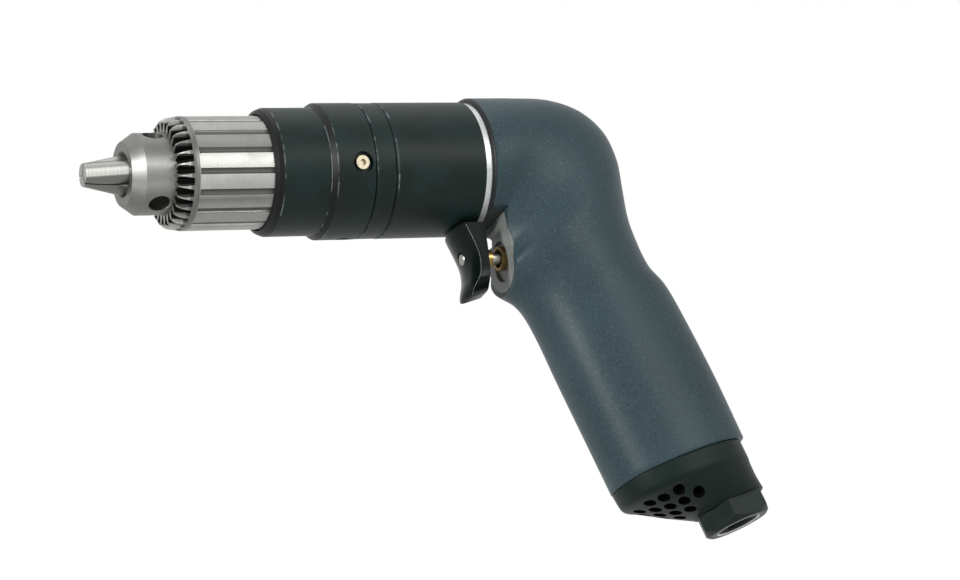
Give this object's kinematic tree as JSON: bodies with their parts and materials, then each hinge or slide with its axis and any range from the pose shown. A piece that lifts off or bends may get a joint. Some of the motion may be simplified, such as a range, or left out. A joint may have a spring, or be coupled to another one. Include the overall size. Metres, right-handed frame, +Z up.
{
  "type": "air drill",
  "caption": "Pistol-grip air drill with a keyed three-jaw chuck, round barrel, sliding trigger, geared vane motor, slotted base cap exhaust and threaded air inlet.",
  "frame": {"origin": "on the spindle axis between the closed jaws, 2.8 mm ahead of the flat front of the chuck nose", "axes": "+X along the spindle axis from the chuck to the rear, +Z up away from the grip, Y across the tool"},
  "size_m": [0.2022, 0.0444, 0.1472],
  "materials": {
    "chuck_steel": "bright turned steel",
    "barrel_black": "satin black coat",
    "ring_alloy": "machined, bare",
    "handle_coat": "blue-grey textured coat",
    "trigger_black": "moulded, glossy",
    "plate_grey": "dark grey, satin",
    "cap_black": "satin black",
    "bushing_oxide": "black oxide",
    "seal_rubber": "matt",
    "filter_felt": "felt",
    "brass_parts": "turned, bare",
    "vane_resin": "phenolic sheet",
    "bare_steel": "ground, bare"
  },
  "bodies": {
    "housing": {"handle": "handle_coat", "front_cap": "barrel_black", "gear_housing": "barrel_black", "grease_nipple": "brass_parts", "lock_ring": "barrel_black", "motor_housing": "barrel_black", "light_ring": "ring_alloy", "ring_gear": "bare_steel", "spindle_front_outer": "bare_steel", "spindle_rear_outer": "bare_steel", "bearing_plate": "bare_steel", "front_end_plate": "bare_steel", "motor_cylinder": "bare_steel", "rear_end_plate": "bare_steel", "rotor_front_outer": "bare_steel", "rotor_rear_outer": "bare_steel", "trigger_plate": "plate_grey", "valve_body": "brass_parts", "valve_spring": "bare_steel", "base_cap": "cap_black", "silencer": "filter_felt", "inlet_bushing": "bushing_oxide", "inlet_seal": "seal_rubber", "inlet_screen": "bare_steel"},
    "spindle": {"chuck_body": "chuck_steel", "spindle": "bare_steel", "carrier_ring": "bare_steel", "planet_pins": "bare_steel", "spindle_front_inner": "bare_steel", "spindle_rear_inner": "bare_steel"},
    "sleeve": {"chuck_sleeve": "chuck_steel", "chuck_nut": "bare_steel"},
    "jaw_1": {"chuck_jaw_1": "chuck_steel"},
    "jaw_2": {"chuck_jaw_2": "chuck_steel"},
    "jaw_3": {"chuck_jaw_3": "chuck_steel"},
    "planet_1": {"planet_gear_1": "bare_steel"},
    "planet_2": {"planet_gear_2": "bare_steel"},
    "planet_3": {"planet_gear_3": "bare_steel"},
    "rotor": {"rotor": "bare_steel", "vane_1": "vane_resin", "vane_2": "vane_resin", "vane_3": "vane_resin", "vane_4": "vane_resin", "vane_5": "vane_resin", "rotor_front_inner": "bare_steel", "rotor_rear_inner": "bare_steel"},
    "spindle_front_cage": {"spindle_front_balls": "bare_steel"},
    "spindle_rear_cage": {"spindle_rear_balls": "bare_steel"},
    "rotor_front_cage": {"rotor_front_balls": "bare_steel"},
    "rotor_rear_cage": {"rotor_rear_balls": "bare_steel"},
    "trigger": {"trigger": "trigger_black", "trigger_plunger": "bare_steel", "plunger_collar": "brass_parts", "valve_disc": "seal_rubber"}
  },
  "joints": [
    {"name": "spindle_spin", "type": "hinge", "parent": "housing", "child": "spindle", "pos_m": [0, 0, 0], "axis": [1, 0, 0], "continuous": true},
    {"name": "rotor_spin", "type": "hinge", "parent": "housing", "child": "rotor", "pos_m": [0.1, 0, 0], "axis": [1, 0, 0], "continuous": true},
    {"name": "planet_1_spin", "type": "hinge", "parent": "spindle", "child": "planet_1", "pos_m": [0.0687, 0, -0.0081], "axis": [1, 0, 0], "continuous": true},
    {"name": "planet_2_spin", "type": "hinge", "parent": "spindle", "child": "planet_2", "pos_m": [0.0687, 0.00701, 0.00405], "axis": [1, 0, 0], "continuous": true},
    {"name": "planet_3_spin", "type": "hinge", "parent": "spindle", "child": "planet_3", "pos_m": [0.0687, -0.00701, 0.00405], "axis": [1, 0, 0], "continuous": true},
    {"name": "spindle_front_cage_spin", "type": "hinge", "parent": "housing", "child": "spindle_front_cage", "pos_m": [0.0575, 0, 0], "axis": [1, 0, 0], "continuous": true},
    {"name": "spindle_rear_cage_spin", "type": "hinge", "parent": "housing", "child": "spindle_rear_cage", "pos_m": [0.077, 0, 0], "axis": [1, 0, 0], "continuous": true},
    {"name": "rotor_front_cage_spin", "type": "hinge", "parent": "housing", "child": "rotor_front_cage", "pos_m": [0.083, 0, 0], "axis": [1, 0, 0], "continuous": true},
    {"name": "rotor_rear_cage_spin", "type": "hinge", "parent": "housing", "child": "rotor_rear_cage", "pos_m": [0.124, 0, 0], "axis": [1, 0, 0], "continuous": true},
    {"name": "chuck_sleeve_turn", "type": "hinge", "parent": "spindle", "child": "sleeve", "pos_m": [0.03, 0, 0], "axis": [1, 0, 0], "range_deg": [0, 4680]},
    {"name": "jaw_1_slide", "type": "slide", "parent": "spindle", "child": "jaw_1", "axis": [0.9703, -0.2366, -0.0503], "range_m": [0, 0.0196]},
    {"name": "jaw_2_slide", "type": "slide", "parent": "spindle", "child": "jaw_2", "axis": [0.9703, 0.0748, 0.2301], "range_m": [0, 0.0196]},
    {"name": "jaw_3_slide", "type": "slide", "parent": "spindle", "child": "jaw_3", "axis": [0.9703, 0.1619, -0.1798], "range_m": [0, 0.0196]},
    {"name": "trigger_slide", "type": "slide", "parent": "housing", "child": "trigger", "axis": [1, 0, 0], "range_m": [0, 0.005], "stiffness_N_per_m": 800, "springref_m": -0.004, "deforming": ["valve_spring"]}
  ],
  "couplings": [
    {"joint": "rotor_spin", "follows": "spindle_spin", "ratio": 4.5},
    {"joint": "planet_1_spin", "follows": "spindle_spin", "ratio": -2.8},
    {"joint": "planet_2_spin", "follows": "spindle_spin", "ratio": -2.8},
    {"joint": "planet_3_spin", "follows": "spindle_spin", "ratio": -2.8},
    {"joint": "spindle_front_cage_spin", "follows": "spindle_spin", "ratio": 0.4067},
    {"joint": "spindle_rear_cage_spin", "follows": "spindle_spin", "ratio": 0.4354},
    {"joint": "rotor_front_cage_spin", "follows": "spindle_spin", "ratio": 1.83},
    {"joint": "rotor_rear_cage_spin", "follows": "spindle_spin", "ratio": 1.83},
    {"joint": "jaw_1_slide", "follows": "chuck_sleeve_turn", "m_per_rad": 0.00023873},
    {"joint": "jaw_2_slide", "follows": "chuck_sleeve_turn", "m_per_rad": 0.00023873},
    {"joint": "jaw_3_slide", "follows": "chuck_sleeve_turn", "m_per_rad": 0.00023873}
  ]
}
